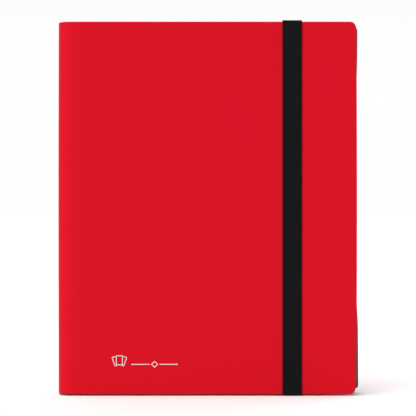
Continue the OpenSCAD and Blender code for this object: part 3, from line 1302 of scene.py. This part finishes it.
        # The rib's height along the strap is the absolute value of a sine with one arch at each pitch.
        rise = add(tree, "ShaderNodeMath", {0: run, 1: given["Rib Pitch"]}, operation="DIVIDE")
        rise = add(tree, "ShaderNodeMath", {0: rise, 1: math.pi}, operation="MULTIPLY")
        rise = add(tree, "ShaderNodeMath", {0: rise}, operation="SINE")
        rise = add(tree, "ShaderNodeMath", {0: rise}, operation="ABSOLUTE")
        rise = add(tree, "ShaderNodeMath", {0: rise, 1: given["Rib Height"]}, operation="MULTIPLY")
        normal = add(tree, "GeometryNodeInputNormal")
        shift = add(tree, "ShaderNodeVectorMath", {0: normal, "Scale": rise}, operation="SCALE")
        ribbed = add(tree, "GeometryNodeSetPosition", {"Geometry": band, "Offset": shift})
        rounded_off = add(tree, "GeometryNodeSetShadeSmooth", {"Geometry": ribbed})
        end_tree(tree, rounded_off, Finishes.ELASTIC.value.build())
        return tree

    def stretch(self, name: str, path: np.ndarray, tree: bpy.types.NodeTree) -> bpy.types.Object:
        """Makes one stretch of the strap along a path.

        Args:
            name: the piece's name.
            path: Y and Z of the band's middle.
            tree: the weaving tree.

        Returns:
            The piece.
        """
        mesh = bpy.data.meshes.new(name)
        edges = [(i, i + 1) for i in range(len(path) - 1)]
        mesh.from_pydata([(self.front.middle.x, y, z) for y, z in path], edges, [])
        sizes = {
            "Width": self.front.size.x, "Thickness": self.thickness, "Edge": self.edge_round,
            "Rib Pitch": self.rib_pitch, "Rib Height": self.rib_height,
        }
        obj = grow(show(name, mesh), tree, sizes)
        sharpen(obj, degrees=50)
        return obj

    def rivet(self, radius: float, depth: float) -> bpy.types.Object:
        """Makes one rivet, its outer face at the origin: a domed head pressed into the strap, and its shank.

        Args:
            radius: the head's radius.
            depth: the rivet's whole length.

        Returns:
            The rivet, turned about Y.
        """
        dome = [
            (radius * self.crown_share * math.cos(a), self.rivet_crown * math.sin(a))
            for a in np.linspace(self.crown_from, math.pi / 2, self.crown_points)
        ]
        profile = [
            (self.shank_radius, -depth), (self.shank_radius, -self.head_height),
            *((radius * out, -self.head_height * down) for out, down in self.head_edge),
            (radius * self.crown_share, -self.groove), *dome[:-1],
        ]
        turns = [k * math.tau / self.around for k in range(self.around)]
        points = [(r * math.cos(a), y, r * math.sin(a)) for r, y in profile for a in turns]
        faces = hoops(len(profile), self.around)
        for tip, ring in ((-depth, 0), (dome[-1][1], len(profile) - 1)):
            first = ring * self.around
            pairs = ((first + k, first + (k + 1) % self.around) for k in range(self.around))
            faces += [(len(points), a, b) for a, b in pairs]
            points.append((0.0, tip, 0.0))
        return mesh_object("rivets", np.array(points), faces)

    def rivets(self) -> bpy.types.Object:
        """Sets a rivet at each end of the strap."""
        heads = Box.of("strap_rivets")
        tree, given = new_tree("rivet_pair", {"Place": "Vector", "Spacing": "Float"})
        offset = add(tree, "ShaderNodeCombineXYZ", {"Z": given["Spacing"]})
        pair = add(tree, "GeometryNodeMeshLine", {
            "Count": 2, "Start Location": given["Place"], "Offset": offset,
        })
        laid = add(tree, "GeometryNodeInstanceOnPoints", {"Points": pair, "Instance": given["Geometry"]})
        end_tree(tree, laid, Finishes.RIVET.value.build())
        radius = heads.size.x / 2
        place = (heads.middle.x, heads.high.y, heads.low.z + radius)
        values = {"Place": place, "Spacing": heads.size.z - heads.size.x}
        obj = grow(self.rivet(radius, heads.size.y), tree, values)
        sharpen(obj, degrees=40)
        return obj

    def build(self) -> None:
        """Makes the five stretches and the rivets, and hands them to their bodies."""
        tree = self.weave()
        run = self.stretch("strap_run", self.front_path(), tree)
        hand_over(run, Finishes.ELASTIC, "strap", "strap_front")
        for end, word in ((1, "top"), (-1, "bottom")):
            leg = self.stretch(f"strap_{word}_run", self.leg_path(end), tree)
            hand_over(leg, Finishes.ELASTIC, "back_cover", f"strap_{word}")
            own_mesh(leg)
            tail = self.stretch(f"strap_{word}_end", self.tail_path(end), tree)
            hand_over(tail, Finishes.ELASTIC, "back_cover", f"strap_tail_{word}")
        hand_over(self.rivets(), Finishes.RIVET, "back_cover", "strap_rivets")


# ---------------------------------------------------------------- carried-over parts


def dress_frame_parts() -> None:
    """Gives the CAD nodes whose shape is already right their finishes."""
    parts = {
        "front_lining": Finishes.LINING,
        "back_lining": Finishes.LINING,
        "foil_emblem": Finishes.FOIL,
        "binding_strip": Finishes.BINDING,
        "binding_adhesive": Finishes.ADHESIVE,
        "strap_washers": Finishes.WASHER,
    }
    for node, finish in parts.items():
        finish.value.dress(frame["nodes"][node])
        LOG.info("%s: CAD shape, %s", node, finish.value.name)


# ---------------------------------------------------------------- studio


@dataclass
class Lamp:
    """One lamp: where it stands, what it points at, how big and how bright it is.

    A lamp with no size is a far-off soft light: its power is then in watts per square metre.
    """

    name: str
    place: tuple[float, float, float]
    power: float
    size: float = 0.0
    spread: float = 0.0
    target: tuple[float, float, float] = (0.0, 0.0, 0.17)

    def build(self) -> None:
        """Adds the lamp to the scene."""
        light = bpy.data.lights.new(self.name, "AREA" if self.size else "SUN")
        light.energy = self.power
        if self.size:
            light.shape = "RECTANGLE"
            light.size = light.size_y = self.size
        else:
            light.angle = math.radians(self.spread)
        obj = show(self.name, light)
        obj.location = self.place
        away = Vector(self.place) - Vector(self.target)
        obj.rotation_euler = away.to_track_quat("Z", "Y").to_euler()


# Soft light from overhead, a key box at the left and a stronger box behind at the right
LAMPS = (
    Lamp("overhead", (-0.35, -0.4, 2.0), 2.15, spread=45.0),
    Lamp("key", (-0.95, -1.25, 0.62), 1.8, size=0.9),
    Lamp("rim", (1.3, 1.2, 0.7), 8.0, size=1.0),
)


@dataclass
class Studio:
    """A pale floor in a round white room, soft lamps and a camera square on to the front cover."""

    distance: float = 1.2
    field: float = 0.3543
    aside: float = 0.6 * MM
    sensor: float = 36.0
    floor_reach: float = 30.0
    # The room is white up to low_sky and falls to this brightness at high_sky, in shares of its height
    zenith: float = 0.35
    low_sky: float = 0.08
    high_sky: float = 0.6

    def camera(self) -> None:
        """Adds the camera at half the binder's height, facing its front cover."""
        cover = Box.of("front_cover")
        data = bpy.data.cameras.new("camera")
        data.sensor_width = self.sensor
        data.lens = self.sensor * self.distance / self.field
        obj = show("camera", data)
        obj.location = (self.aside, cover.low.y - self.distance, cover.middle.z)
        obj.rotation_euler = (math.pi / 2, 0.0, 0.0)
        bpy.context.scene.camera = obj

    def floor(self) -> None:
        """Adds the floor, wide enough for its far edge to vanish in the white of the room."""
        far = self.floor_reach
        mesh = bpy.data.meshes.new("floor")
        mesh.from_pydata([(-far, -far, 0), (far, -far, 0), (far, far, 0), (-far, far, 0)], [], [(0, 1, 2, 3)])
        mesh.materials.append(Finishes.FLOOR.value.build())
        show("floor", mesh)

    def room(self) -> None:
        """Lights the round room: white walls, dimmer toward the ceiling."""
        world = bpy.data.worlds.new("room")
        world.use_nodes = True
        tree = world.node_tree
        around = add(tree, "ShaderNodeTexCoord").outputs["Generated"]
        light = add(tree, "ShaderNodeMapRange", {
            "Value": add(tree, "ShaderNodeSeparateXYZ", {"Vector": around}).outputs["Z"],
            "From Min": self.low_sky, "From Max": self.high_sky, "To Min": 1.0, "To Max": self.zenith,
        }, interpolation_type="SMOOTHSTEP")
        feed(tree, tree.nodes["Background"], {"Strength": light, "Color": (1.0, 1.0, 1.0, 1.0)})
        bpy.context.scene.world = world

    def build(self) -> None:
        """Sets the whole studio up, with colours shown as they are."""
        self.camera()
        self.floor()
        self.room()
        for lamp in LAMPS:
            lamp.build()
        bpy.context.scene.view_settings.view_transform = "Standard"
        LOG.info("studio: camera %.2f m away, field %.0f mm", self.distance, self.field / MM)


def corners(box: tuple[Iterable[float], Iterable[float]]) -> list[list[float]]:
    """A box as two plain lists of numbers."""
    return [[float(v) for v in corner] for corner in box]


def main() -> None:
    """Builds the binder in order: covers, pages, strap, the parts kept from the frame, and the studio."""
    logging.basicConfig(level=logging.INFO, format="%(name)s %(message)s")
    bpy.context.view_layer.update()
    Studio().build()
    Wrap().build()
    PageBlock().build()
    Strap().build()
    dress_frame_parts()


if __name__ == "__main__":
    main()
